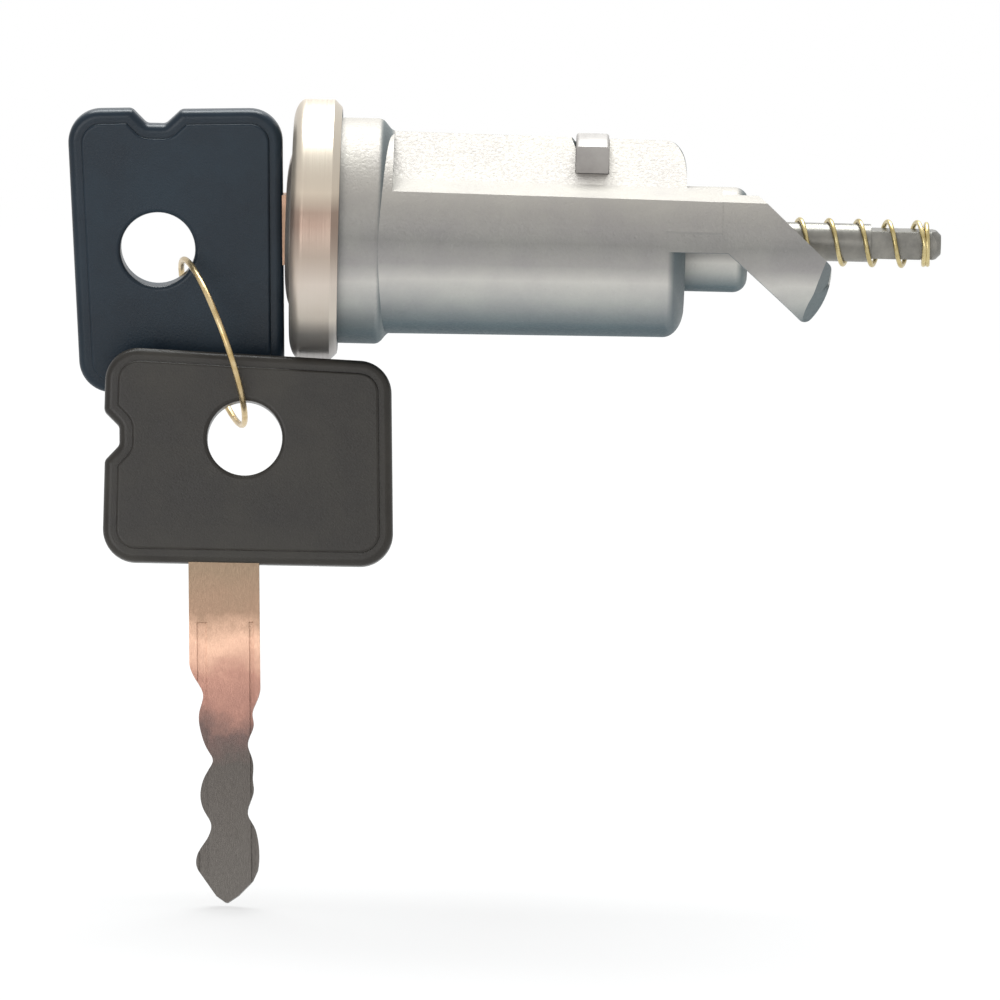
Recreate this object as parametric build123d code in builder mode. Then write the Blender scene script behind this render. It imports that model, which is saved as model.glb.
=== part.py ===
from build123d import *
import os
from math import cos, radians, sin, sqrt, tan

# Ignition lock cylinder with one key in the lock and a spare key on a wire ring.
# Lengths are in millimetres. X runs along the lock towards its rear, Z is up and -Y is the side
# that carries the rib. The origin is on the lock's axis, in the rear face of the flange, which
# is the shoulder that seats on the steering lock.

# Flange, collar and body
body_radius = 11.85
body_length = 40.7
flange_overhang = 2.1
flange_length = 5.7
flange_front_round = (1.5, 2.8)
collar_step = 1.45
collar_length = 4.2
collar_slope = 2.4
body_draft = 0.5
body_end_round = (2.4, 3.5)
body_heel_round = (5.1, 4.1)
nose_wall = 1.75
nose_length = 7.4
nose_round = 1.7

# Rolled cap over the flange
sheet = 0.4
cap_lip_inset = 0.75
cap_lip_length = 0.9

# Rib, ledge and slanted cam nose
rib_shift = 1.4
view_tilt = 9.0
ledge_share = 0.532
ledge_fall = 0.6
ledge_rise = 10.0
ledge_width = 5.2
ledge_start = 6.1
upper_bevel = 34.0
arm_length = 4.2
arm_depth = 6.2
arm_underside = 1.2
arm_round = 1.1
arm_root = (0.9, 1.4)
cam_wall = 2.0
cam_inner = 5.0
cam_tip_round = 0.9
cam_bevel = 1.6
cam_bevel_angle = 27.0

# Corners of the cam nose: distance behind the body, and height as a share of the body's radius
cam_top = (9.5, 0.338)
cam_corner = (17.1, -0.262)
cam_side = (16.8, -0.498)
cam_tip = (14.3, -0.835)
cam_heel = (5.0, -0.160)

# Plug and its bore
running_clearance = 0.05
plug_radius = 7.5
plug_tail_radius = 6.6
plug_step_land = 0.85
plug_end_wall = 1.8
plug_head_radius = 8.8
plug_head_length = 3.7
journal_radius = 4.4
journal_recess = 0.2
plug_cap_front = 6.4
plug_cap_flat = 4.5
plug_cap_dome = 0.9
plug_cap_skirt = 1.9
washer_thickness = 0.3
washer_clearance = 0.15
retaining_pin_radius = 1.0
retaining_pin_setback = 4.0
retaining_groove_depth = 1.1
retaining_pin_length = 15.8
retaining_pin_bottom = -9.4

# Keys
blade_width = 8.3
blade_thickness = 2.3
blade_length = 39.8
tang_length = 7.5
keyway_clearance = 0.1
cap_slot_clearance = 0.2
ward_grooves = [(2.65, 1.2), (-3.17, 0.58)]
ward_depth = 0.45
ward_start = 6.8
ward_clearance = 0.1
ward_entry = 0.5
head_gap = 0.2
head_far_skew = (25.9, 23.6)
head_near_skew = (-0.5, 0.5)
head_notch_side = (13.6, 14.3)
head_far_side = 19.9
head_corner = 3.9
head_border_thickness = 3.2
head_thickness = 4.0
head_edge_round = 0.9
panel_inset = 1.55
panel_round = 0.3
key_hole_radius = 4.4
key_hole_round = 0.5
key_hole_place = (14.8, -2.6)
notch_place = 15.3
notch_mouth = 5.8
notch_floor = 2.2
notch_depth = 1.75
notch_round = 0.9

# Blade edges: place as a share of the blade's length, and height left beside its middle
notch_side_cuts = [
    (0.2814, 4.15), (0.3342, 3.54), (0.3857, 2.58), (0.4322, 3.02), (0.5, 2.82),
    (0.5477, 2.07), (0.5779, 1.5), (0.608, 2.08), (0.6432, 2.76), (0.6809, 3.0),
    (0.7261, 2.58), (0.7688, 1.76), (0.809, 2.26), (0.8442, 3.2), (0.8744, 3.56),
    (0.9045, 3.25),
]
far_side_cuts = [
    (0.3618, 4.15), (0.407, 3.67), (0.4447, 3.2), (0.4698, 3.34), (0.4975, 3.05),
    (0.5302, 2.62), (0.5678, 3.05), (0.603, 3.24), (0.6357, 3.17), (0.6658, 3.28),
    (0.7035, 2.83), (0.7362, 2.55), (0.7739, 3.28), (0.809, 3.68), (0.9045, 3.66),
]
blade_point = [(0.977, 1.25), (1.0, 0), (0.977, -1.4), (0.935, -3.1)]
blade_tip_round = 0.4

# Wafers and their springs
wafer_count = 9
wafer_first = 15.3
wafer_pitch = 1.975
wafer_thickness = 1.0
wafer_width = 8.6
wafer_end_clearance = 0.08
wafer_slot_clearance = 0.04
wafer_travel = 1.5
wafer_shoulder = (1.0, -1.0)
wafer_groove_radius = 8.9
wafer_spring_radius = 0.36
wafer_spring_wire = 0.2
wafer_spring_turns = 3
wafer_spring_pocket = 2.9

# Retaining lug and its spring
lug_setback = 11.15
lug_length = 3.85
lug_half_width = 4.6
lug_stand = 0.3
lug_height = 4.05
lug_travel = 0.8
lug_clearance = 0.06
lug_lip = (0.4, 0.7)
lug_lip_half_width = 2.3
lug_top_round = 0.35
lug_spring_radius = 1.05
lug_spring_wire = 0.34
lug_spring_turns = 4
lug_bore_depth = 2.9
lug_slot_bevel = (0.8, 1.6)

# Share of the wire's thickness between two closed coils
closed_coil_step = 0.84

# Drive rod, its pin and its spring
rod_radius = 2.25
rod_lead = 3.0
rod_round_run = 14.5
rod_square_run = 8.3
rod_square = 3.3
rod_chamfer = 1.1
rod_travel = 3.5
rod_groove_radius = 2.05
rod_pin_radius = 0.75
rod_pin_setback = 2.3
spring_wire = 0.56
spring_turns = 6
spring_start_angle = 46.0
spring_clearance = 0.06
spring_end_coils = 2

# Place of the spare key and of the ring
spare_tilt = 13.0
spare_lean = 2.0
spare_hole = (-10.5, -9.5, -23.75)
ring_wire = 0.72
ring_top = (-18.6, 0.0, -4.3)
ring_reach = 2.8
ring_back_shift = 1.2
ring_twist = -13.6

collar_radius = body_radius + collar_step
flange_radius = collar_radius + flange_overhang
flange_back = 0.0
flange_front = -flange_length
nose_end = body_length + nose_length
body_end_radius = body_radius - body_length * sin(radians(body_draft))
plug_length = body_length - plug_end_wall
retaining_pin_place = body_length - retaining_pin_setback
lug_place = body_length - lug_setback
lug_top_radius = body_radius + lug_stand
lug_bottom = lug_top_radius - lug_height
rod_pin_place = body_length + rod_pin_setback
rod_start = rod_pin_place - rod_lead
rod_round_end = nose_end + rod_round_run
rod_end = rod_round_end + rod_square_run
ledge_height = body_radius * ledge_share
bore_radius = plug_radius + running_clearance
tail_bore_radius = plug_tail_radius + running_clearance
journal_bore_radius = journal_radius + running_clearance
nose_radius = journal_bore_radius + nose_wall
plug_cap_radius = plug_head_radius + sheet
head_bore_radius = plug_cap_radius + running_clearance
plug_head_front = -plug_cap_front + sheet
plug_head_back = plug_head_front + plug_head_length
head_bore_floor = plug_head_back + washer_thickness
journal_end = nose_end - journal_recess
key_origin = -plug_cap_front - head_gap
wafer_places = [key_origin + wafer_first + wafer_pitch * i for i in range(wafer_count)]
plug_step = wafer_places[-1] + wafer_thickness / 2 + plug_step_land
rod_bore_radius = rod_radius + running_clearance
retaining_pin_side = plug_tail_radius + retaining_pin_radius - retaining_groove_depth
rod_bore_start = rod_start - rod_travel - 2 * running_clearance

os.makedirs("parts", exist_ok=True)


def save(part, name):
    """Label a finished piece and write it to its own file."""
    part.label = name
    export_step(part, f"parts/{name}.step")


def flange_section(inset):
    """Outline of the flange's front, from the axis out to its rim, taken in by the sheet."""
    front = flange_front + inset
    rim = flange_radius - inset
    across, up = (size - inset for size in flange_front_round)
    Line((front, 0), (front, rim - up))
    EllipticalCenterArc((front + across, rim - up), across, up, start_angle=90, arc_size=90)
    return (front + across, rim)


# Housing: flange, collar, tapered body and nose in one turned outline
with BuildPart() as turned_body:
    with BuildSketch(Plane.XZ) as body_section:
        with BuildLine():
            rim_start = flange_section(sheet)
            rim_radius = flange_radius - sheet
            lip_start = (flange_back - cap_lip_length, rim_radius)
            lip_end = (flange_back, rim_radius - cap_lip_inset)
            Polyline(rim_start, lip_start, lip_end, (flange_back, collar_radius))
            Line((flange_back, collar_radius), (collar_length, collar_radius))
            slope_end = (collar_length + collar_slope, body_radius)
            Spline((collar_length, collar_radius), slope_end, tangents=[(1, 0), (1, 0)])
            across, up = body_end_round
            Line(slope_end, (body_length - across, body_end_radius))
            EllipticalCenterArc(
                (body_length - across, body_end_radius - up), across, up, start_angle=0, arc_size=90
            )
            Line((body_length, body_end_radius - up), (body_length, nose_radius))
            Line((body_length, nose_radius), (nose_end - nose_round, nose_radius))
            CenterArc((nose_end - nose_round, nose_radius - nose_round), nose_round, 0, 90)
            Polyline(
                (nose_end, nose_radius - nose_round), (nose_end, 0), (flange_front + sheet, 0)
            )
        make_face()
    revolve(axis=Axis.X)
    # The heel under the body's rear end is rounded further, as a tool path along Y
    with BuildSketch(Plane.XZ) as heel_section:
        across, up = body_heel_round
        heel_x = body_length - across
        heel_z = -(body_end_radius + 0.1) + up
        with BuildLine():
            EllipticalCenterArc((heel_x, heel_z), across, up, start_angle=270, arc_size=90)
            Polyline(
                (body_length, heel_z), (body_length + 0.5, heel_z),
                (body_length + 0.5, -collar_radius), (heel_x, -collar_radius), (heel_x, heel_z - up),
            )
        make_face()
    extrude(amount=collar_radius, both=True, mode=Mode.SUBTRACT)

# Rib: the body's own section, shifted sideways until it is flush with the collar
rib_axis = Axis((0, -rib_shift, 0), (1, 0, 0))
rib_plane = Plane(origin=(0, -rib_shift, 0), x_dir=(1, 0, 0), z_dir=(0, -1, 0))
cam_points = {}
for name, (behind, share) in {
    "top": cam_top, "corner": cam_corner, "side": cam_side, "tip": cam_tip, "heel": cam_heel
}.items():
    cam_points[name] = (body_length + behind, body_radius * share)
cam_reach = cam_points["corner"][0] + 1
cam_radius = body_radius - cam_reach * sin(radians(body_draft))
rib_start = collar_length / 2

with BuildPart() as rib:
    with BuildSketch(rib_plane) as rib_section:
        with BuildLine():
            across, up = body_end_round
            Polyline(
                (rib_start, 0), (rib_start, body_radius), (body_length - across, body_end_radius)
            )
            EllipticalCenterArc(
                (body_length - across, body_end_radius - up), across, up, start_angle=0, arc_size=90
            )
            Polyline((body_length, body_end_radius - up), (body_length, 0), (rib_start, 0))
        make_face()
    revolve(axis=rib_axis)
    # Only the half on the rib's side is kept
    with Locations((body_length / 2, -collar_radius, -collar_radius / 2)):
        Box(body_length, 2 * collar_radius, 3 * collar_radius, mode=Mode.INTERSECT)

# Cam nose: a shell that carries the rib's surface on behind the body, cut to a slanted outline
view_plane = Plane(
    origin=(0, 0, 0),
    x_dir=(1, 0, 0),
    z_dir=(0, -cos(radians(view_tilt)), sin(radians(view_tilt))),
)
cam_run = Vector(*cam_points["corner"]) - Vector(*cam_points["top"])
cam_lift = Vector(*cam_points["top"]) - cam_run * 0.8
cam_root = body_length - arm_length

with BuildPart() as cam_nose:
    with BuildSketch(rib_plane) as shell_section:
        with BuildLine():
            Polyline(
                (cam_root, body_end_radius),
                (cam_reach, cam_radius),
                (cam_reach, cam_radius - cam_wall),
                (cam_root, body_end_radius - cam_wall),
                close=True,
            )
        make_face()
    revolve(axis=rib_axis)
    with BuildSketch(view_plane) as cam_outline:
        with BuildLine():
            Line(cam_lift, cam_points["corner"])
            ThreePointArc(cam_points["corner"], cam_points["side"], cam_points["tip"])
            Polyline(
                cam_points["tip"],
                cam_points["heel"],
                (cam_root, cam_points["heel"][1]),
                (cam_root, cam_lift.Y),
                cam_lift,
            )
        make_face()
        fillet(cam_outline.vertices().sort_by(Axis.Y)[0], radius=cam_tip_round)
        fillet(cam_outline.vertices().sort_by(Axis.X)[-1], radius=cam_tip_round)
    extrude(amount=2 * collar_radius, mode=Mode.INTERSECT)
    with Locations((cam_reach / 2, -cam_inner, 0)):
        Box(
            cam_reach, collar_radius, 2 * collar_radius,
            align=(Align.CENTER, Align.MAX, Align.CENTER), mode=Mode.INTERSECT,
        )
    # Bevel along the outer edge of the rounded end, cut from the plane that touches it there
    touch = radians(cam_bevel_angle)
    bevel_plane = Plane(
        origin=(0, -rib_shift - cam_radius * cos(touch), -cam_radius * sin(touch)),
        x_dir=(1, 0, 0),
        z_dir=(0, -cos(touch), -sin(touch)),
    )
    edge_x = cam_points["side"][0] - cam_bevel
    tip_x = cam_points["tip"][0] - cam_bevel
    reach = body_radius / 2
    with BuildSketch(bevel_plane) as bevel_section:
        with BuildLine():
            ThreePointArc((edge_x + 0.2, reach), (edge_x, 0.1 * body_radius), (tip_x, -0.4 * body_radius))
            Polyline(
                (tip_x, -0.4 * body_radius),
                (tip_x, -body_radius),
                (cam_reach + reach, -body_radius),
                (cam_reach + reach, reach),
                (edge_x + 0.2, reach),
            )
        make_face()
    extrude(amount=-cam_bevel, taper=45, mode=Mode.SUBTRACT)

with BuildPart() as arm:
    with BuildSketch(Plane.YZ.offset(cam_root)) as arm_section:
        with Locations((-rib_shift, 0)):
            Circle(body_end_radius)
        with Locations((-arm_depth, arm_underside)):
            Rectangle(
                collar_radius, collar_radius, align=(Align.MAX, Align.MIN), mode=Mode.INTERSECT
            )
        lower_corner = arm_section.vertices().sort_by(Axis.X)[0]
        fillet(lower_corner, radius=arm_round)
    extrude(amount=2 * arm_length)
    # Root that joins the arm's inner lower corner to the nose
    root_depth, root_height = arm_root
    with BuildSketch(Plane.YZ.offset(cam_root)) as root_section:
        with Locations((-arm_depth, arm_underside)):
            Rectangle(root_depth, root_height, align=(Align.MIN, Align.MIN))
    extrude(amount=2 * arm_length)

ledge_plane = Plane(
    origin=(ledge_start, 0, 0),
    x_dir=(0, 1, 0),
    z_dir=(cos(radians(ledge_fall)), 0, -sin(radians(ledge_fall))),
)
lug_half_length = lug_length / 2
lug_pocket_floor = lug_bottom - lug_travel
lip_length, lip_height = lug_lip
wafer_groove_start = wafer_places[0] - wafer_pitch
wafer_groove_end = wafer_places[-1] + wafer_thickness

with BuildPart() as housing:
    add(turned_body.part)
    add(rib.part)
    add(cam_nose.part)
    add(arm.part)
    # Ledge and upper bevel along the rib, the arm and the cam nose
    with BuildSketch(ledge_plane) as ledge_section:
        rib_edge = -rib_shift - sqrt(body_radius**2 - ledge_height**2)
        ledge_inner = (rib_edge + ledge_width, ledge_height + ledge_width * tan(radians(ledge_rise)))
        outer_y = rib_edge - 4
        outer = (outer_y, ledge_height - 4 * tan(radians(ledge_rise)))
        bevel_y = 2.5
        bevel_z = ledge_inner[1] + (bevel_y - ledge_inner[0]) * tan(radians(upper_bevel))
        with BuildLine():
            Polyline(
                outer, ledge_inner, (bevel_y, bevel_z), (bevel_y, 2 * collar_radius),
                (outer_y, 2 * collar_radius), close=True,
            )
        make_face()
    extrude(amount=cam_reach, mode=Mode.SUBTRACT)
    # Bore for the plug: head, wafer part, tail and journal
    with BuildSketch(Plane.XZ) as bore_section:
        with BuildLine():
            Polyline(
                (flange_front, 0),
                (flange_front, head_bore_radius),
                (head_bore_floor, head_bore_radius),
                (head_bore_floor, bore_radius),
                (plug_step, bore_radius),
                (plug_step, tail_bore_radius),
                (plug_length, tail_bore_radius),
                (plug_length, journal_bore_radius),
                (nose_end, journal_bore_radius),
                (nose_end, 0),
                close=True,
            )
        make_face()
    revolve(axis=Axis.X, mode=Mode.SUBTRACT)
    # Grooves that the wafers spring into when the key is out
    with BuildSketch(Plane.YZ.offset(wafer_groove_start)) as groove_section:
        Circle(wafer_groove_radius)
        Rectangle(wafer_width + 4 * running_clearance, 3 * wafer_groove_radius, mode=Mode.INTERSECT)
    extrude(amount=wafer_groove_end - wafer_groove_start, mode=Mode.SUBTRACT)
    # Hole for the retaining lug, with a wider chamber below for its lips
    with BuildSketch(Plane.XY.offset(lug_pocket_floor)) as lug_hole:
        with Locations((lug_place, 0)):
            Rectangle(lug_length + 2 * lug_clearance, 2 * (lug_half_width + lug_clearance))
    extrude(amount=collar_radius, mode=Mode.SUBTRACT)
    with BuildSketch(Plane.XY.offset(lug_pocket_floor)) as lug_chamber:
        with Locations((lug_place, 0)):
            Rectangle(
                lug_length + 2 * (lip_length + lug_clearance),
                2 * (lug_lip_half_width + lug_clearance),
            )
    extrude(amount=lug_travel + lip_height + lug_clearance, mode=Mode.SUBTRACT)
    # Bevel at the front edge of the lug's hole
    bevel_run, bevel_drop = lug_slot_bevel
    hole_front = lug_place - lug_half_length - lug_clearance
    with BuildSketch(Plane.XZ) as hole_bevel:
        with BuildLine():
            Polyline(
                (hole_front - bevel_run, lug_top_radius),
                (hole_front, lug_top_radius - bevel_drop),
                (hole_front + bevel_run, lug_top_radius),
                close=True,
            )
        make_face()
    extrude(amount=lug_half_width, both=True, mode=Mode.SUBTRACT)
    # Cross hole for the pin that holds the plug in
    with Locations((retaining_pin_place, retaining_pin_side, retaining_pin_bottom + retaining_pin_length)):
        Cylinder(
            retaining_pin_radius,
            2 * retaining_pin_length,
            align=(Align.CENTER, Align.CENTER, Align.MAX),
            mode=Mode.SUBTRACT,
        )
save(housing.part, "housing")

# Bright cap, pressed over the flange and rolled in behind its rim
with BuildPart() as face_cap:
    with BuildSketch(Plane.XZ) as cap_section:
        with BuildLine():
            outer_start = flange_section(0)
            lip_start = (flange_back - cap_lip_length, flange_radius)
            Line(outer_start, lip_start)
            lip_outer = (flange_back - 0.05, flange_radius - cap_lip_inset - 0.1)
            lip_inner = (flange_back, flange_radius - sheet - cap_lip_inset)
            Polyline(lip_start, lip_outer, lip_inner, (flange_back, 0), (flange_front, 0))
        make_face()
    revolve(axis=Axis.X)
    with BuildSketch(Plane.XZ) as flange_form:
        with BuildLine():
            rim_start = flange_section(sheet)
            Polyline(
                rim_start,
                (flange_back - cap_lip_length, flange_radius - sheet),
                (flange_back, flange_radius - sheet - cap_lip_inset),
                (flange_back, 0),
                (flange_front + sheet, 0),
            )
        make_face()
    revolve(axis=Axis.X, mode=Mode.SUBTRACT)
    with Locations(Plane.YZ.offset(flange_front - 1)):
        Cylinder(
            head_bore_radius, flange_length, mode=Mode.SUBTRACT, align=(Align.CENTER, Align.CENTER, Align.MIN)
        )
save(face_cap.part, "face_cap")

# Washer between the plug's head and the floor of its bore
with BuildPart() as head_washer:
    with BuildSketch(Plane.YZ.offset(plug_head_back)) as washer_section:
        Circle(plug_head_radius - washer_clearance)
        Circle(plug_radius + washer_clearance, mode=Mode.SUBTRACT)
    extrude(amount=washer_thickness)
save(head_washer.part, "head_washer")

# Pin that crosses the plug's groove and holds it in the housing
with BuildPart() as plug_pin:
    with Locations((retaining_pin_place, retaining_pin_side, retaining_pin_bottom)):
        Cylinder(
            retaining_pin_radius, retaining_pin_length, align=(Align.CENTER, Align.CENTER, Align.MIN)
        )
    chamfer(plug_pin.edges(), length=0.2)
save(plug_pin.part, "plug_retaining_pin")


def plug_cap_form(inset):
    """Domed front of the plug's cap, taken in by the sheet for the plug itself."""
    front = -plug_cap_front + inset
    rim = plug_cap_radius - inset
    rise = rim - plug_cap_flat
    Line((front, 0), (front, plug_cap_flat))
    EllipticalCenterArc(
        (front + plug_cap_dome, plug_cap_flat), plug_cap_dome, rise, start_angle=90, arc_size=90
    )
    return (front + plug_cap_dome, rim)


keyway_width = blade_width + 2 * keyway_clearance
keyway_thickness = blade_thickness + 2 * keyway_clearance
keyway_end = key_origin + blade_length + 3 * keyway_clearance
shoulder_width, shoulder_height = wafer_shoulder
wafer_half = wafer_width / 2
slot_half = wafer_half + wafer_slot_clearance
slot_corner = slot_half - shoulder_width
shelf_height = shoulder_height - wafer_travel
spring_column = wafer_half - shoulder_width / 2
pocket_floor = shelf_height - wafer_spring_pocket

# Plug: head, slotted barrel and journal
with BuildPart() as plug:
    with BuildSketch(Plane.XZ) as plug_section:
        with BuildLine():
            dome_end = plug_cap_form(sheet)
            Polyline(
                dome_end,
                (plug_head_back, plug_head_radius),
                (plug_head_back, plug_radius),
                (plug_step - running_clearance, plug_radius),
                (plug_step - running_clearance, plug_tail_radius),
                (plug_length - running_clearance, plug_tail_radius),
                (plug_length - running_clearance, journal_radius),
                (journal_end, journal_radius),
                (journal_end, 0),
                (-plug_cap_front + sheet, 0),
            )
        make_face()
    revolve(axis=Axis.X)
    # Keyway
    with BuildSketch(Plane.YZ.offset(-plug_cap_front)) as keyway:
        Rectangle(keyway_thickness, keyway_width)
    extrude(amount=keyway_end + plug_cap_front, mode=Mode.SUBTRACT)
    # Ribs in the keyway that run in the blade's grooves
    ward_rib_start = key_origin + ward_start + ward_entry
    with BuildSketch(Plane.YZ.offset(ward_rib_start)) as ward_ribs:
        for middle, width in ward_grooves:
            with Locations((0, middle)):
                Rectangle(keyway_thickness + running_clearance, width - 2 * ward_clearance)
                Rectangle(
                    blade_thickness - 2 * (ward_depth - ward_clearance), width, mode=Mode.SUBTRACT
                )
    extrude(amount=keyway_end - ward_rib_start)
    # Slot for each wafer, with a shelf and a spring pocket at one lower corner
    for place in wafer_places:
        slot_start = place - wafer_thickness / 2 - wafer_slot_clearance
        with BuildSketch(Plane.YZ.offset(slot_start)) as slot:
            with Locations((0, 0)):
                Rectangle(2 * slot_half, 3 * plug_radius)
            with Locations((slot_half, shelf_height)):
                Rectangle(
                    2 * shoulder_width, 3 * plug_radius, align=(Align.CENTER, Align.MAX), mode=Mode.SUBTRACT
                )
        extrude(amount=wafer_thickness + 2 * wafer_slot_clearance, mode=Mode.SUBTRACT)
        with Locations((place, spring_column, pocket_floor)):
            Cylinder(
                wafer_spring_radius + wafer_spring_wire / 2 + wafer_slot_clearance,
                wafer_spring_pocket + 1,
                align=(Align.CENTER, Align.CENTER, Align.MIN),
                mode=Mode.SUBTRACT,
            )
    # Groove for the retaining pin
    with BuildSketch(Plane.XZ) as pin_groove:
        with Locations((retaining_pin_place, plug_tail_radius)):
            Rectangle(
                2 * (retaining_pin_radius + running_clearance),
                2 * (retaining_groove_depth + running_clearance),
            )
    revolve(axis=Axis.X, mode=Mode.SUBTRACT)
    # Bore for the drive rod and the cross hole for its pin
    with Locations(Plane.YZ.offset(rod_bore_start)):
        Cylinder(
            rod_bore_radius, journal_end, align=(Align.CENTER, Align.CENTER, Align.MIN), mode=Mode.SUBTRACT
        )
    with Locations((rod_pin_place, 0, 0)):
        Cylinder(rod_pin_radius, 2 * journal_radius, mode=Mode.SUBTRACT)
save(plug.part, "plug")

# Domed bright cap on the plug's head
with BuildPart() as plug_cap:
    with BuildSketch(Plane.XZ) as plug_cap_section:
        with BuildLine():
            dome_end = plug_cap_form(0)
            skirt_end = dome_end[0] + plug_cap_skirt
            Polyline(dome_end, (skirt_end, plug_cap_radius), (skirt_end, 0), (-plug_cap_front, 0))
        make_face()
    revolve(axis=Axis.X)
    with BuildSketch(Plane.XZ) as head_form:
        with BuildLine():
            dome_end = plug_cap_form(sheet)
            Polyline(
                dome_end,
                (plug_head_back, plug_head_radius),
                (plug_head_back, 0),
                (-plug_cap_front + sheet, 0),
            )
        make_face()
    revolve(axis=Axis.X, mode=Mode.SUBTRACT)
    with BuildSketch(Plane.YZ.offset(-plug_cap_front)) as key_slot:
        Rectangle(blade_thickness + 2 * cap_slot_clearance, blade_width + 2 * cap_slot_clearance)
    extrude(amount=plug_head_length, mode=Mode.SUBTRACT)
save(plug_cap.part, "plug_cap")

# Wafers: flat plates with a window that clears the whole blade
for number, place in enumerate(wafer_places, start=1):
    with BuildPart() as wafer:
        with BuildSketch(Plane.YZ.offset(place - wafer_thickness / 2)) as wafer_outline:
            Circle(plug_radius - wafer_end_clearance)
            Rectangle(wafer_width, 3 * plug_radius, mode=Mode.INTERSECT)
            Rectangle(keyway_thickness, keyway_width, mode=Mode.SUBTRACT)
            with Locations((wafer_half, shoulder_height)):
                Rectangle(
                    2 * shoulder_width, 3 * plug_radius, align=(Align.CENTER, Align.MAX), mode=Mode.SUBTRACT
                )
        extrude(amount=wafer_thickness)
    save(wafer.part, f"wafer_{number}")


def coil(mean_radius, wire, length, turns, closed=(0, 0), closed_radius=None):
    """Coil spring of flat-sided wire that stands on XY, with closed coils below and above."""
    half = wire / 2
    step = closed_coil_step * wire
    far_radius = closed_radius or mean_radius
    low_coils = [(mean_radius, half + step * number) for number in range(closed[0])]
    high_coils = [(far_radius, length - half - step * number) for number in range(closed[1])]
    low = low_coils[-1][1] if low_coils else half
    high = high_coils[-1][1] if high_coils else length - half
    with BuildPart() as spring:
        with BuildLine():
            winding = Helix(
                pitch=(high - low) / turns, height=high - low, radius=mean_radius, center=(0, 0, low)
            )
        with BuildSketch(Plane(origin=winding @ 0, z_dir=winding % 0)):
            RegularPolygon(half, 6)
        sweep(path=winding, is_frenet=True)
        for place in low_coils + high_coils:
            with BuildSketch(Plane.XZ):
                with Locations(place):
                    RegularPolygon(half, 6)
            revolve(axis=Axis.Z)
    return spring.part


# One small spring under each wafer's shoulder, all in one node
wafer_springs = []
for place in wafer_places:
    spring_height = shoulder_height - pocket_floor
    spring = coil(wafer_spring_radius, wafer_spring_wire, spring_height, wafer_spring_turns)
    wafer_springs.append(Location((place, spring_column, pocket_floor)) * spring)
save(Compound(children=wafer_springs), "wafer_springs")

# Retaining lug: a block with a crowned top, side lips and a bore for its spring
with BuildPart() as lug:
    with BuildSketch(Plane.YZ.offset(lug_place - lug_half_length)) as lug_section:
        Circle(lug_top_radius)
        with Locations((0, lug_bottom)):
            Rectangle(
                2 * lug_half_width, collar_radius, align=(Align.CENTER, Align.MIN), mode=Mode.INTERSECT
            )
    extrude(amount=lug_length)
    fillet(lug.edges().filter_by(GeomType.CIRCLE), radius=lug_top_round)
    with BuildSketch(Plane.XY.offset(lug_bottom)) as lips:
        with Locations((lug_place, 0)):
            Rectangle(lug_length + 2 * lip_length, 2 * lug_lip_half_width)
    extrude(amount=lip_height)
    with Locations((lug_place, 0, lug_bottom)):
        Cylinder(
            lug_spring_radius + lug_spring_wire / 2 + 2 * lug_clearance,
            lug_bore_depth,
            align=(Align.CENTER, Align.CENTER, Align.MIN),
            mode=Mode.SUBTRACT,
        )
save(lug.part, "retaining_lug")

lug_spring = coil(
    lug_spring_radius, lug_spring_wire, lug_travel + lug_bore_depth, lug_spring_turns, closed=(1, 1)
)
save(Location((lug_place, 0, lug_pocket_floor)) * lug_spring, "lug_spring")

# Drive rod: round shank with a slot for its pin, then a square with rounded corners
with BuildPart() as drive_rod:
    with BuildSketch(Plane.XZ) as rod_section:
        with BuildLine():
            Polyline(
                (rod_start, 0),
                (rod_start, rod_radius),
                (rod_end - rod_chamfer, rod_radius),
                (rod_end, rod_radius - rod_chamfer),
                (rod_end, 0),
                close=True,
            )
        make_face()
    revolve(axis=Axis.X)
    # Four flats mill the rear part to a square with its corners left round
    with BuildSketch(Plane.YZ.offset(rod_round_end)) as around_square:
        Circle(2 * rod_radius)
        Rectangle(rod_square, rod_square, mode=Mode.SUBTRACT)
    extrude(amount=rod_end - rod_round_end, mode=Mode.SUBTRACT)
    # Slot that lets the rod slide past its pin
    with BuildSketch(Plane.XY) as pin_slot:
        with Locations((rod_pin_place + rod_travel / 2, 0)):
            SlotCenterToCenter(rod_travel, 2 * (rod_pin_radius + running_clearance))
    extrude(amount=2 * rod_radius, both=True, mode=Mode.SUBTRACT)
    # Notches in the square's corners hold the spring's closed coils
    groove_length = spring_end_coils * spring_wire + 0.2
    groove_start = rod_end - rod_chamfer - groove_length
    with BuildSketch(Plane.YZ.offset(groove_start)) as corner_notches:
        Circle(rod_radius + 1)
        Circle(rod_groove_radius, mode=Mode.SUBTRACT)
    extrude(amount=groove_length, mode=Mode.SUBTRACT)
save(drive_rod.part, "drive_rod")

with BuildPart() as rod_pin:
    with Locations((rod_pin_place, 0, 0)):
        Cylinder(rod_pin_radius, 2 * journal_radius - 0.2)
    chamfer(rod_pin.edges(), length=0.15)
save(rod_pin.part, "rod_pin")

# Drive spring: open coils, with tighter closed coils that catch in the square's notches
spring_mean = rod_radius + spring_clearance + spring_wire / 2
spring_length = groove_start + groove_length - 0.1 - journal_end
drive_spring = coil(
    spring_mean,
    spring_wire,
    spring_length,
    spring_turns,
    closed=(1, spring_end_coils),
    closed_radius=rod_groove_radius + spring_clearance / 2 + spring_wire / 2,
)
start = radians(spring_start_angle)
spring_seat = Plane(origin=(journal_end, 0, 0), x_dir=(0, -cos(start), -sin(start)), z_dir=(1, 0, 0))
save(spring_seat.location * drive_spring, "drive_spring")


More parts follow.
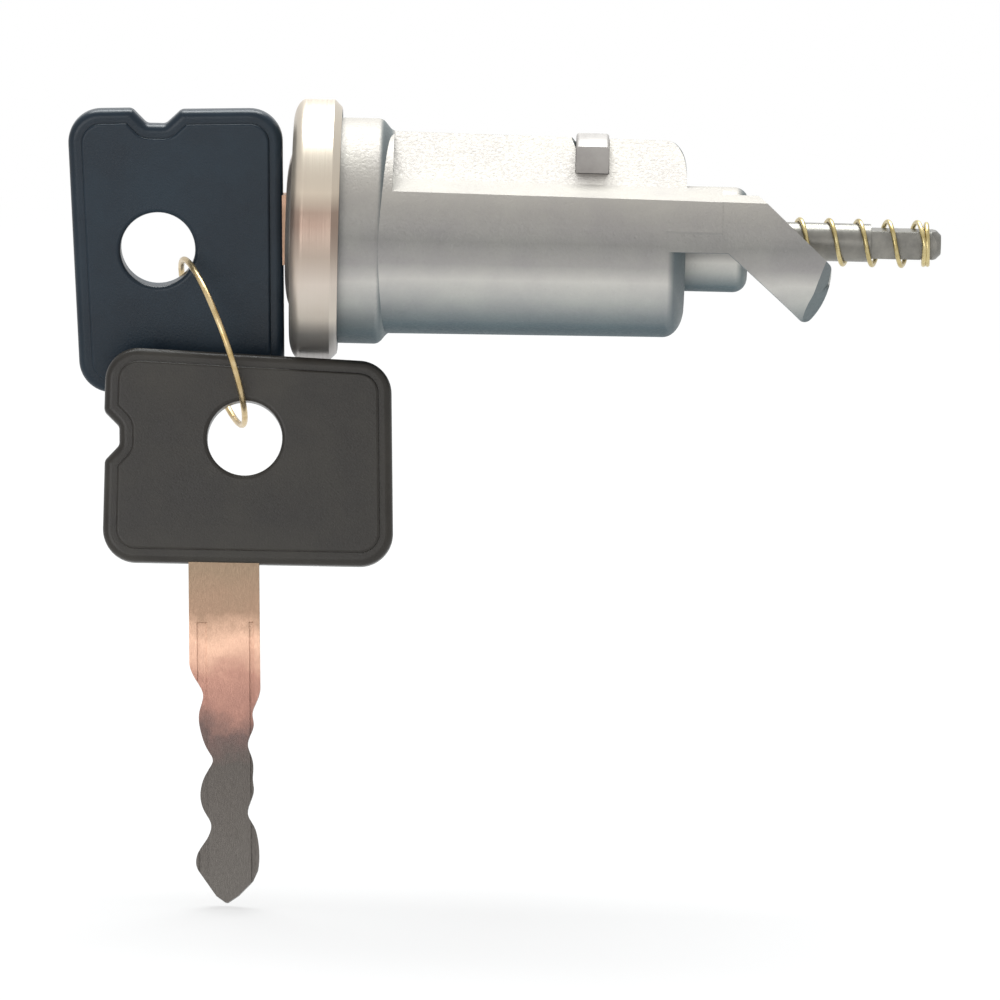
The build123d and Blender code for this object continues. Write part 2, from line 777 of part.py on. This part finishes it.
def head_outline(inset):
    """Outline of a key's head with its thumb notch, taken in by an inset, in the key's own plane."""
    far_w, near_w = head_notch_side
    corners = [
        (-head_far_skew[0], far_w),
        (-head_far_skew[1], -head_far_side),
        (head_near_skew[1], -head_far_side),
        (head_near_skew[0], near_w),
    ]
    level = near_w - (near_w - far_w) * notch_place / head_far_skew[0]
    notch = [
        (-notch_place + notch_mouth / 2, level),
        (-notch_place + notch_floor / 2, level - notch_depth),
        (-notch_place - notch_floor / 2, level - notch_depth),
        (-notch_place - notch_mouth / 2, level),
    ]
    with BuildSketch() as outline:
        with BuildLine():
            Polyline(*corners, *notch, close=True)
        make_face()
        notch_points = outline.vertices().filter_by(
            lambda v: abs(v.X + notch_place) < notch_mouth / 2 + 0.1 and v.Y > 0
        )
        fillet(notch_points, radius=notch_round)
        outer_points = outline.vertices().filter_by(
            lambda v: min((Vector(v.X, v.Y) - Vector(*corner)).length for corner in corners) < 0.1
        )
        fillet(outer_points, radius=head_corner)
        if inset:
            offset(amount=-inset, mode=Mode.REPLACE)
    return outline.sketch


def key_head(plane):
    """Moulded head: a slab with rounded rims and a raised panel on each side."""
    across_head = Axis(plane.origin, plane.z_dir)
    with BuildPart() as head:
        with BuildSketch(plane):
            add(head_outline(0))
        extrude(amount=head_border_thickness / 2, both=True)
        fillet(head.faces().filter_by(across_head).edges(), radius=head_edge_round)
        with BuildSketch(plane):
            add(head_outline(panel_inset))
        extrude(amount=head_thickness / 2, both=True)
        panel_faces = head.faces().filter_by(
            lambda f: abs(abs(plane.to_local_coords(f.center()).Z) - head_thickness / 2) < 0.01
        )
        fillet(panel_faces.edges(), radius=panel_round)
        hole_u, hole_w = key_hole_place
        with BuildSketch(plane):
            with Locations((-hole_u, hole_w)):
                Circle(key_hole_radius)
        extrude(amount=head_thickness, both=True, mode=Mode.SUBTRACT)
        rims = head.edges().filter_by(GeomType.CIRCLE).filter_by(
            lambda e: abs(e.radius - key_hole_radius) < 0.01
        )
        fillet(rims, radius=key_hole_round)
        with BuildSketch(plane):
            with Locations((-tang_length, 0)):
                Rectangle(2 * tang_length, blade_width, align=(Align.MIN, Align.CENTER))
        extrude(amount=blade_thickness / 2, both=True, mode=Mode.SUBTRACT)
    return head.part


def key_blade(plane):
    """Flat blade with waved cuts in both edges and a milled groove on each side of each flat."""
    with BuildPart() as blade:
        with BuildSketch(plane) as blade_outline:
            upper = [(blade_length * share, w) for share, w in notch_side_cuts]
            lower = [(blade_length * share, -w) for share, w in far_side_cuts]
            point = [(blade_length * share, w) for share, w in blade_point]
            half = blade_width / 2
            with BuildLine():
                Line((-tang_length, half), upper[0])
                Spline(*upper)
                Polyline(upper[-1], *point, lower[-1])
                Spline(*reversed(lower))
                Polyline(lower[0], (-tang_length, -half), (-tang_length, half))
            make_face()
            fillet(blade_outline.vertices().sort_by(Axis.X)[-1], radius=blade_tip_round)
        extrude(amount=blade_thickness / 2, both=True)
        for side in (1, -1):
            groove_plane = plane.offset(side * blade_thickness / 2)
            with BuildSketch(groove_plane):
                for middle, width in ward_grooves:
                    with Locations(((blade_length + ward_start) / 2, middle)):
                        Rectangle(blade_length - ward_start, width)
            extrude(amount=-side * ward_depth, mode=Mode.SUBTRACT)
    return blade.part


# Key in the lock: its notch is up and its plane holds the lock's axis
key_1_plane = Plane(origin=(key_origin, 0, 0), x_dir=(1, 0, 0), z_dir=(0, -1, 0))
save(key_head(key_1_plane), "key_1_head")
save(key_blade(key_1_plane), "key_1_blade")

# Spare key: blade down, other face forward, tilted about X and leaning a little in its plane
tilt = radians(spare_tilt)
lean = radians(spare_lean)
spare_normal = Vector(0, cos(tilt), -sin(tilt))
spare_down = Vector(0, -sin(tilt), -cos(tilt)) * cos(lean) + Vector(1, 0, 0) * sin(lean)
spare_centre = Vector(*spare_hole)
spare_side = spare_normal.cross(spare_down)
spare_origin = spare_centre + spare_down * key_hole_place[0] - spare_side * key_hole_place[1]
key_2_plane = Plane(origin=spare_origin, x_dir=spare_down, z_dir=spare_normal)
save(key_head(key_2_plane), "key_2_head")
save(key_blade(key_2_plane), "key_2_blade")

# Wire ring through both key heads
ring_high = Vector(*ring_top)
ring_low = spare_centre - spare_down * ring_reach
chord = ring_low - ring_high
along = chord.normalized()
back = (Vector(0, 1, 0) - along * along.Y).normalized()
twist = radians(ring_twist)
side = along.cross(back)
ring_back = back * cos(twist) + side * sin(twist)
ring_centre = (ring_high + ring_low) * 0.5 + ring_back * ring_back_shift
ring_radius = sqrt((chord.length / 2) ** 2 + ring_back_shift**2)
with BuildPart() as wire_ring:
    with Locations(Plane(origin=ring_centre, x_dir=along, z_dir=along.cross(ring_back))):
        Torus(ring_radius, ring_wire / 2)
save(wire_ring.part, "wire_ring")
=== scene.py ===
import math

import bmesh
import bpy
from mathutils import Matrix, Vector


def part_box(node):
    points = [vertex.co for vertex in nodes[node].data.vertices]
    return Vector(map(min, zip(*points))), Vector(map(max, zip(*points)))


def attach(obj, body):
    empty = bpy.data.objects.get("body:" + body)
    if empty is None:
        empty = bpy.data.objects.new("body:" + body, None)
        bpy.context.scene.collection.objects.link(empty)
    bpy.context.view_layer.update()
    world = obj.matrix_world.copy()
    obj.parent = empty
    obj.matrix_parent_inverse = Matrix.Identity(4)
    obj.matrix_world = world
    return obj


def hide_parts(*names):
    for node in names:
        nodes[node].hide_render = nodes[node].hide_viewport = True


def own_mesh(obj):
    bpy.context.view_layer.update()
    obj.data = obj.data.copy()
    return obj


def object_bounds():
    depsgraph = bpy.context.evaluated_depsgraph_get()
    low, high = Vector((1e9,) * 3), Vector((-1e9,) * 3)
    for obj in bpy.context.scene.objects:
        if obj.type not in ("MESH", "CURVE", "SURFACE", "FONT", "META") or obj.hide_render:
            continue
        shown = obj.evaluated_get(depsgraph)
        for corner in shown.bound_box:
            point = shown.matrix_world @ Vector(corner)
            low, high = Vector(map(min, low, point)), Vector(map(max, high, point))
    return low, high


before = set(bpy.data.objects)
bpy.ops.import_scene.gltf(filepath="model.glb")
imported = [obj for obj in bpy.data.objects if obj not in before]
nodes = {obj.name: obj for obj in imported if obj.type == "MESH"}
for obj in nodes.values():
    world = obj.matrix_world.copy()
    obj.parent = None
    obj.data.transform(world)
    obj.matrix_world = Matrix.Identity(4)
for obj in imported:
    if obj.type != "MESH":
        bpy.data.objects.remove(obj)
cad_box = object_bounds()
MM = 0.001


# Shader nodes
class Finish:
    """One procedural material, with short ways to add its nodes."""

    def __init__(self, name):
        self.material = bpy.data.materials.new(name)
        self.material.use_nodes = True
        self.tree = self.material.node_tree
        self.shader = self.tree.nodes["Principled BSDF"]
        self.place = self.tree.nodes.new("ShaderNodeTexCoord").outputs["Object"]

    def node(self, kind, **settings):
        made = self.tree.nodes.new(kind)
        for name, value in settings.items():
            setattr(made, name, value)
        return made

    def feed(self, socket, value):
        """Links an output to a socket, or sets a number or colour on it."""
        if isinstance(value, bpy.types.NodeSocket):
            self.tree.links.new(value, socket)
        elif isinstance(value, tuple) and len(value) == 3 and len(socket.default_value) == 4:
            socket.default_value = (*value, 1.0)
        else:
            socket.default_value = value

    def surface(self, **values):
        for name, value in values.items():
            self.feed(self.shader.inputs[name.replace("_", " ")], value)

    def maths(self, operation, *values):
        made = self.node("ShaderNodeMath", operation=operation)
        for socket, value in zip(made.inputs, values):
            self.feed(socket, value)
        return made.outputs[0]

    def axis(self, name, vector=None):
        split = self.node("ShaderNodeSeparateXYZ")
        self.feed(split.inputs[0], vector or self.place)
        return split.outputs[name]

    def facing(self, name):
        """How far the surface faces along one of the object's own axes, from -1 to 1."""
        return self.axis(name, self.place.node.outputs["Normal"])

    def stretched(self, scale):
        made = self.node("ShaderNodeMapping")
        self.feed(made.inputs["Vector"], self.place)
        made.inputs["Scale"].default_value = scale
        return made.outputs[0]

    def turned(self):
        """Place along the lock's axis and distance from it, for fine lines that run round it."""
        joined = self.node("ShaderNodeCombineXYZ")
        y, z = self.axis("Y"), self.axis("Z")
        squares = self.maths("ADD", self.maths("MULTIPLY", y, y), self.maths("MULTIPLY", z, z))
        self.feed(joined.inputs["X"], self.axis("X"))
        self.feed(joined.inputs["Y"], self.maths("SQRT", squares))
        return joined.outputs[0]

    def noise(self, size, detail=3.0, place=None):
        """Soft noise whose spots are about this many millimetres apart."""
        made = self.node("ShaderNodeTexNoise")
        self.feed(made.inputs["Vector"], place or self.place)
        made.inputs["Scale"].default_value = 1 / (size * MM)
        made.inputs["Detail"].default_value = detail
        made.inputs["Roughness"].default_value = 0.6
        return made.outputs["Fac"]

    def pits(self, size):
        made = self.node("ShaderNodeTexVoronoi")
        self.feed(made.inputs["Vector"], self.place)
        made.inputs["Scale"].default_value = 1 / (size * MM)
        return made.outputs["Distance"]

    def spread(self, value, low, high, start=0.3, end=0.7):
        """Takes a value between start and end to low and high."""
        made = self.node("ShaderNodeMapRange")
        self.feed(made.inputs["Value"], value)
        made.inputs["From Min"].default_value = start
        made.inputs["From Max"].default_value = end
        made.inputs["To Min"].default_value = low
        made.inputs["To Max"].default_value = high
        return made.outputs["Result"]

    def tones(self, value, *stops):
        """Colour ramp with stops of place and colour."""
        made = self.node("ShaderNodeValToRGB")
        elements = made.color_ramp.elements
        while len(elements) < len(stops):
            elements.new(0.5)
        for element, (place, color) in zip(elements, stops):
            element.position = place
            element.color = (*color, 1.0)
        self.feed(made.inputs["Fac"], value)
        return made.outputs["Color"]

    def mixed(self, factor, a, b, kind="MIX"):
        made = self.node("ShaderNodeMix", data_type="RGBA", blend_type=kind)
        for name, value in (("Factor_Float", factor), ("A_Color", a), ("B_Color", b)):
            socket = next(s for s in made.inputs if s.identifier == name)
            self.feed(socket, value)
        return next(s for s in made.outputs if s.identifier == "Result_Color")

    def bumped(self, height, depth):
        """Bump of this depth in millimetres."""
        made = self.node("ShaderNodeBump")
        made.inputs["Distance"].default_value = depth * MM
        self.feed(made.inputs["Height"], height)
        self.feed(self.shader.inputs["Normal"], made.outputs[0])


# Materials
# Painted shade for the housing underneath and behind, and the cap's worn patches
PAINTED_SHADE_ZINC = (0.05, 0.085, 0.10)
WORN_CAP = (0.52, 0.42, 0.34)


def cast_zinc():
    """Matt die-cast zinc: fine grain, soft patches and small pits.

    Its tone follows the way the surface faces, as painted light and shade: a light band on faces
    turned a little down, and darker, bluer and less metallic underneath and behind.
    """
    finish = Finish("cast_zinc")
    grain = finish.noise(0.35)
    patches = finish.noise(7.0, detail=4.0)
    upward = finish.facing("Z")
    # Painted light and shade by facing: dark underneath, a painted light band on faces turned a
    # little down, darker on level faces, lighter facing up
    body = finish.tones(
        finish.spread(upward, 0.0, 1.0, start=-1.0, end=0.5),
        (0.03, (0.03, 0.05, 0.06)),
        (0.11, (0.09, 0.125, 0.14)),
        (0.20, (0.21, 0.235, 0.24)),
        (0.33, (0.43, 0.435, 0.42)),
        (0.45, (0.57, 0.56, 0.53)),
        (0.56, (0.36, 0.35, 0.34)),
        (0.71, (0.265, 0.262, 0.25)),
        (0.81, (0.33, 0.32, 0.305)),
        (1.0, (0.42, 0.40, 0.37)),
    )
    # Painted shade: darker, bluer and less metallic on faces turned down and on faces turned
    # towards the rear
    under = finish.spread(upward, 0.0, 1.0, start=-0.78, end=-1.0)
    rear = finish.spread(finish.facing("X"), 0.0, 0.75, start=0.2, end=0.6)
    painted_shade = finish.maths("MAXIMUM", under, rear)
    body = finish.mixed(painted_shade, body, PAINTED_SHADE_ZINC)
    shade = finish.tones(patches, (0.35, (0.46, 0.45, 0.46)), (0.65, (0.55, 0.545, 0.53)))
    finish.surface(
        Base_Color=finish.mixed(0.6, body, shade, "OVERLAY"),
        Metallic=finish.spread(painted_shade, 0.35, 0.0, start=0.0, end=1.0),
        Specular_IOR_Level=0.25,
        Roughness=finish.spread(grain, 0.46, 0.62),
    )
    pits = finish.spread(finish.pits(0.9), 0.0, 1.0, start=0.05, end=0.25)
    finish.bumped(finish.maths("ADD", grain, finish.maths("MULTIPLY", pits, 0.4)), 0.05)
    return finish.material


def turned_metal(name, dark, light, metallic=0.9, roughness=(0.26, 0.4), line=0.09):
    """Satin metal with fine lines round the lock's axis and slow changes of tone."""
    finish = Finish(name)
    lines = finish.noise(line, place=finish.turned())
    finish.surface(
        Base_Color=finish.tones(finish.noise(5.0), (0.35, dark), (0.65, light)),
        Metallic=metallic,
        Roughness=finish.spread(lines, *roughness),
    )
    finish.bumped(lines, 0.012)
    return finish.material


def pressed_cap():
    """Pressed cap: worn nickel with a warm tint, brushed round the axis, and painted light and
    shade along its height.
    """
    finish = Finish("pressed_cap")
    lines = finish.noise(0.12, place=finish.turned())
    worn = finish.spread(finish.noise(9.0, detail=2.0), 0.0, 1.0)
    # Painted light and shade by height: dark at the bottom, a painted light band below the middle,
    # darker and warmer above it, light at the top
    height = finish.spread(finish.axis("Z"), 0.0, 1.0, start=-15 * MM, end=10 * MM)
    body = finish.tones(
        height,
        (0.0, (0.26, 0.26, 0.265)),
        (0.16, (0.33, 0.325, 0.31)),
        (0.24, (0.62, 0.57, 0.50)),
        (0.42, (0.66, 0.58, 0.51)),
        (0.55, (0.44, 0.36, 0.30)),
        (0.70, (0.32, 0.225, 0.18)),
        (0.76, (0.33, 0.24, 0.19)),
        (0.85, (0.66, 0.57, 0.46)),
        (1.0, (0.60, 0.54, 0.45)),
    )
    finish.surface(
        Base_Color=finish.mixed(finish.maths("MULTIPLY", worn, 0.3), body, WORN_CAP),
        Metallic=0.75,
        Roughness=finish.spread(lines, 0.3, 0.44),
    )
    finish.bumped(lines, 0.015)
    return finish.material


def moulded(name, dark, light):
    """Moulded plastic with a fine spark texture, rubbed a little smoother in patches."""
    finish = Finish(name)
    grain = finish.noise(0.22)
    rubbed = finish.noise(8.0)
    finish.surface(
        Base_Color=finish.tones(rubbed, (0.35, dark), (0.65, light)),
        Specular_IOR_Level=0.3,
        Roughness=finish.spread(rubbed, 0.28, 0.4),
    )
    finish.bumped(grain, 0.02)
    return finish.material


def blade_with_painted_reflection(name, axis, bow, tip):
    """Key blade: nickel, with a painted reflection along it, light and coppery behind the bow and
    dark towards its tip.

    It runs along the object's own X or Z axis, from the place of its bow to the place of its tip.
    """
    finish = Finish(name)
    along = finish.spread(finish.axis(axis), 0.0, 1.0, start=bow, end=tip)
    uneven = finish.spread(finish.noise(4.0), -0.035, 0.035)
    # Painted reflection along the blade: light and coppery behind the bow, dark towards the tip
    painted_reflection = finish.tones(
        finish.maths("ADD", along, uneven),
        (0.0, (0.27, 0.19, 0.125)),
        (0.13, (0.33, 0.21, 0.14)),
        (0.22, (0.72, 0.45, 0.32)),
        (0.33, (0.42, 0.22, 0.165)),
        (0.42, (0.34, 0.175, 0.135)),
        (0.50, (0.13, 0.085, 0.075)),
        (0.58, (0.088, 0.077, 0.068)),
        (1.0, (0.11, 0.10, 0.09)),
    )
    lengthwise = (1.0, 1.0, 0.06) if axis == "Z" else (0.06, 1.0, 1.0)
    scratches = finish.noise(0.12, place=finish.stretched(lengthwise))
    finish.surface(
        Base_Color=painted_reflection,
        Metallic=0.6,
        Roughness=finish.spread(scratches, 0.3, 0.46),
    )
    finish.bumped(scratches, 0.012)
    return finish.material


def drawn_wire(name, dark, light, roughness=(0.22, 0.36)):
    """Drawn wire, its plating thinner in places."""
    finish = Finish(name)
    plating = finish.noise(1.6)
    marks = finish.noise(0.12)
    finish.surface(
        Base_Color=finish.tones(plating, (0.35, dark), (0.65, light)),
        Metallic=0.9,
        Roughness=finish.spread(marks, *roughness),
    )
    finish.bumped(marks, 0.006)
    return finish.material


def plated_rod():
    """Rod: dull zinc plating, faintly yellow, with fine lines round its axis."""
    finish = Finish("plated_rod")
    lines = finish.noise(0.1, place=finish.turned())
    plating = finish.noise(2.5)
    finish.surface(
        Base_Color=finish.tones(plating, (0.35, (0.17, 0.165, 0.15)), (0.65, (0.25, 0.24, 0.215))),
        Metallic=0.75,
        Roughness=finish.spread(lines, 0.28, 0.42),
    )
    finish.bumped(lines, 0.01)
    return finish.material


key_1_low, key_1_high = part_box("key_1_blade")
key_2_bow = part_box("key_2_head")[0].z
key_2_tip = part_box("key_2_blade")[0].z
finishes = {
    "housing": cast_zinc(),
    "face_cap": pressed_cap(),
    "plug_cap": turned_metal("cap_nickel", (0.55, 0.47, 0.40), (0.68, 0.61, 0.54)),
    "plug": turned_metal(
        "plug_zinc",
        (0.40, 0.39, 0.37),
        (0.52, 0.51, 0.49),
        metallic=0.6,
        roughness=(0.38, 0.52),
    ),
    "retaining_lug": turned_metal(
        "lug_zinc",
        (0.34, 0.32, 0.305),
        (0.43, 0.41, 0.39),
        metallic=0.4,
        roughness=(0.42, 0.56),
        line=0.3,
    ),
    "drive_rod": plated_rod(),
    "wire_ring": drawn_wire("ring_brass", (0.50, 0.36, 0.16), (0.70, 0.55, 0.32)),
    "key_1_head": moulded("key_1_plastic", (0.006, 0.015, 0.026), (0.011, 0.024, 0.038)),
    "key_2_head": moulded("key_2_plastic", (0.024, 0.021, 0.018), (0.042, 0.038, 0.032)),
    "key_1_blade": blade_with_painted_reflection("key_1_nickel", "X", key_1_low.x, key_1_high.x),
    "key_2_blade": blade_with_painted_reflection("key_2_nickel", "Z", key_2_bow, key_2_tip),
}
steel = turned_metal("plain_steel", (0.46, 0.46, 0.46), (0.58, 0.58, 0.57))
brass = turned_metal("wafer_brass", (0.55, 0.40, 0.16), (0.70, 0.55, 0.27))
spring_yellow = drawn_wire("spring_zinc", (0.42, 0.33, 0.14), (0.62, 0.52, 0.27))


def finish_of(name):
    if name.startswith("wafer_") and name != "wafer_springs":
        return brass
    return finishes.get(name, steel)


for name, node in nodes.items():
    node.data.materials.clear()
    node.data.materials.append(finish_of(name))

# Housing: the solid's own surface, with the small nub on the cam nose's end bevel cut off
BEVEL_PLACE = Vector((55.95, -12.078, -4.135)) * MM
BEVEL_FACING = Vector((0.6515, -0.5052, -0.5659)).normalized()
SAME_PLACE_DIGITS = 7


def copied(node, name):
    """New object with a copy of a node's mesh."""
    piece = bpy.data.objects.new(name, node.data.copy())
    bpy.context.collection.objects.link(piece)
    return piece


def cut_flat(piece, place, facing):
    """Cuts off what lies beyond a plane and closes the cut with one face."""
    mesh = bmesh.new()
    mesh.from_mesh(piece.data)
    cut = bmesh.ops.bisect_plane(
        mesh,
        geom=mesh.verts[:] + mesh.edges[:] + mesh.faces[:],
        plane_co=place,
        plane_no=facing,
        clear_outer=True,
    )
    rim = {}
    for vertex in cut["geom_cut"]:
        if isinstance(vertex, bmesh.types.BMVert):
            # Vertices are doubled along sharp edges, and the face needs each place once
            rim[tuple(round(c, SAME_PLACE_DIGITS) for c in vertex.co)] = vertex.co.copy()
    middle = sum(rim.values(), Vector()) / len(rim)
    across = facing.orthogonal()
    along = facing.cross(across)

    def angle(point):
        return math.atan2((point - middle).dot(along), (point - middle).dot(across))

    mesh.faces.new([mesh.verts.new(point) for point in sorted(rim.values(), key=angle)])
    mesh.to_mesh(piece.data)
    mesh.free()


housing = copied(nodes["housing"], "housing_bevelled")
cut_flat(housing, BEVEL_PLACE, BEVEL_FACING)
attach(housing, "lock_body")
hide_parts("housing")

lug_spring = copied(nodes["lug_spring"], "lug_spring_coil")
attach(lug_spring, "lock_body")
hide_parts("lug_spring")
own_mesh(lug_spring)

# Drive spring: one round wire, wound as the solid is
SPRING_WIRE = 0.56 * MM
SPRING_TURNS = 6
SPRING_START = 46.0
CLOSED_STEP = 0.84
END_RADIUS_SHARE = 0.925
# Turns in which the winding narrows to its closed end: where this starts, ends and the wire ends
NARROWING = (SPRING_TURNS - 0.15, SPRING_TURNS + 0.1, SPRING_TURNS + 1.1)
STEPS_PER_TURN = 48


def wire_piece(name, points, thickness):
    """Round wire through these points, as a mesh."""
    line = bpy.data.curves.new(name, "CURVE")
    line.dimensions = "3D"
    line.bevel_depth = thickness / 2
    line.bevel_resolution = 4
    line.use_fill_caps = True
    spline = line.splines.new("POLY")
    spline.points.add(len(points) - 1)
    for point, place in zip(spline.points, points):
        point.co = (*place, 1.0)
    carrier = bpy.data.objects.new(name + "_line", line)
    bpy.context.collection.objects.link(carrier)
    mesh = bpy.data.meshes.new_from_object(carrier)
    bpy.data.objects.remove(carrier)
    piece = bpy.data.objects.new(name, mesh)
    bpy.context.collection.objects.link(piece)
    return piece


def winding(low, high):
    """Points of the drive spring: a closed turn, the open turns and a narrower closed end."""
    radius = high.y - SPRING_WIRE / 2
    closed = CLOSED_STEP * SPRING_WIRE
    first, last = low.x + SPRING_WIRE / 2, high.x - SPRING_WIRE / 2
    # Turn number, place along the axis and share of the radius where the winding changes
    stages = [
        (-1.0, first, 1.0),
        (0.0, first + closed, 1.0),
        (NARROWING[0], last - closed, 1.0),
        (NARROWING[1], last - closed, END_RADIUS_SHARE),
        (NARROWING[2], last, END_RADIUS_SHARE),
    ]
    points = []
    for (turn_a, x_a, share_a), (turn_b, x_b, share_b) in zip(stages, stages[1:]):
        count = max(2, round((turn_b - turn_a) * STEPS_PER_TURN))
        for step in range(count):
            part = step / count
            turn = turn_a + (turn_b - turn_a) * part
            angle = math.radians(SPRING_START) + 2 * math.pi * turn
            reach = radius * (share_a + (share_b - share_a) * part)
            x = x_a + (x_b - x_a) * part
            points.append((x, -reach * math.cos(angle), -reach * math.sin(angle)))
    return points


spring_low, spring_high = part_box("drive_spring")
spring = wire_piece("drive_spring_wire", winding(spring_low, spring_high), SPRING_WIRE)
spring.data.materials.append(spring_yellow)
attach(spring, "plug_unit")
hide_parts("drive_spring")
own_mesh(spring)

# Camera at the photograph's angle: nearly level with the lock, its frame's width set by the scale
PHOTO_SIDE = 1000
PIXEL = 0.118 * MM
ELEVATION = math.radians(9)
ROLL = 0.0244
CAMERA_DISTANCE = 1.5
AIM_RIGHT, AIM_UP = 19.65 * MM, -31.37 * MM

right = Vector((1, 0, 0))
up = Vector((0, math.sin(ELEVATION), math.cos(ELEVATION)))
away = right.cross(up) * -1
aim = right * AIM_RIGHT + up * AIM_UP
frame_right = (right + up * ROLL).normalized()
frame_up = (up - right * ROLL).normalized()
lens = bpy.data.cameras.new("camera")
lens.sensor_width = 36
lens.lens = lens.sensor_width * CAMERA_DISTANCE / (PHOTO_SIDE * PIXEL)
lens.clip_start, lens.clip_end = 0.1, 20
camera = bpy.data.objects.new("camera", lens)
facing = Matrix((frame_right, frame_up, -away)).transposed().to_4x4()
camera.matrix_world = Matrix.Translation(aim - away * CAMERA_DISTANCE) @ facing
bpy.context.collection.objects.link(camera)
bpy.context.scene.camera = camera


# Floor and surroundings: white where they are seen, also in metal and gloss
def seen_directly(tree):
    """1 for camera, glossy and transmission rays, 0 for the rest."""
    path = tree.nodes.new("ShaderNodeLightPath")
    either = path.outputs["Is Camera Ray"]
    for other in ("Is Glossy Ray", "Is Transmission Ray"):
        larger = tree.nodes.new("ShaderNodeMath")
        larger.operation = "MAXIMUM"
        tree.links.new(either, larger.inputs[0])
        tree.links.new(path.outputs[other], larger.inputs[1])
        either = larger.outputs[0]
    return either


FLOOR_HALF = 3.0
FLOOR_GAP = 0.3 * MM
FLOOR_GLOW_NEAR = 0.72
FLOOR_NEAR, FLOOR_FAR = 0.15, 0.6


def make_floor(height):
    """Pale floor that keeps the object's shadow round it and turns plain white further off."""
    mesh = bpy.data.meshes.new("floor")
    corners = [(-1, -1), (1, -1), (1, 1), (-1, 1)]
    points = [(x * FLOOR_HALF, y * FLOOR_HALF, height) for x, y in corners]
    mesh.from_pydata(points, [], [(0, 1, 2, 3)])
    finish = Finish("floor")
    finish.surface(Base_Color=(0.86, 0.86, 0.86), Roughness=0.9, Specular_IOR_Level=0.0)
    glow = finish.node("ShaderNodeEmission")
    mixer = finish.node("ShaderNodeMixShader")
    distance = finish.node("ShaderNodeVectorMath", operation="LENGTH")
    finish.feed(distance.inputs[0], finish.place)
    share = finish.spread(
        distance.outputs["Value"], FLOOR_GLOW_NEAR, 1.0, start=FLOOR_NEAR, end=FLOOR_FAR
    )
    finish.feed(mixer.inputs[0], finish.maths("MULTIPLY", seen_directly(finish.tree), share))
    finish.feed(mixer.inputs[1], finish.shader.outputs[0])
    finish.feed(mixer.inputs[2], glow.outputs[0])
    finish.feed(finish.tree.nodes["Material Output"].inputs[0], mixer.outputs[0])
    mesh.materials.append(finish.material)
    floor = bpy.data.objects.new("floor", mesh)
    bpy.context.collection.objects.link(floor)


def make_world(lit, seen):
    """White surroundings, of one strength as light and another where they are seen."""
    world = bpy.data.worlds.new("studio")
    bpy.context.scene.world = world
    world.use_nodes = True
    tree = world.node_tree
    level = tree.nodes.new("ShaderNodeMapRange")
    level.inputs["To Min"].default_value = lit
    level.inputs["To Max"].default_value = seen
    tree.links.new(seen_directly(tree), level.inputs["Value"])
    tree.links.new(level.outputs["Result"], tree.nodes["Background"].inputs["Strength"])
    tree.nodes["Background"].inputs["Color"].default_value = (1, 1, 1, 1)


LAMP_SIZE = (0.6, 0.5)


def soft_lamp(name, place, size, power, color=(1, 1, 1)):
    """Large rectangular lamp that faces the object's middle."""
    data = bpy.data.lights.new(name, "AREA")
    data.shape = "RECTANGLE"
    data.size, data.size_y = size
    data.energy = power
    data.color = color
    lamp = bpy.data.objects.new(name, data)
    lamp.location = place
    middle = (cad_box[0] + cad_box[1]) / 2
    lamp.rotation_euler = (middle - Vector(place)).to_track_quat("-Z", "Y").to_euler()
    bpy.context.collection.objects.link(lamp)


make_floor(cad_box[0].z - FLOOR_GAP)
make_world(lit=0.3, seen=0.9)
soft_lamp("top", place=(0.0, 0.3, 0.7), size=LAMP_SIZE, power=10.0, color=(0.97, 1.0, 1.0))
soft_lamp("front", place=(-0.3, -0.9, 0.1), size=LAMP_SIZE, power=2.6)

bpy.context.scene.view_settings.view_transform = "Standard"
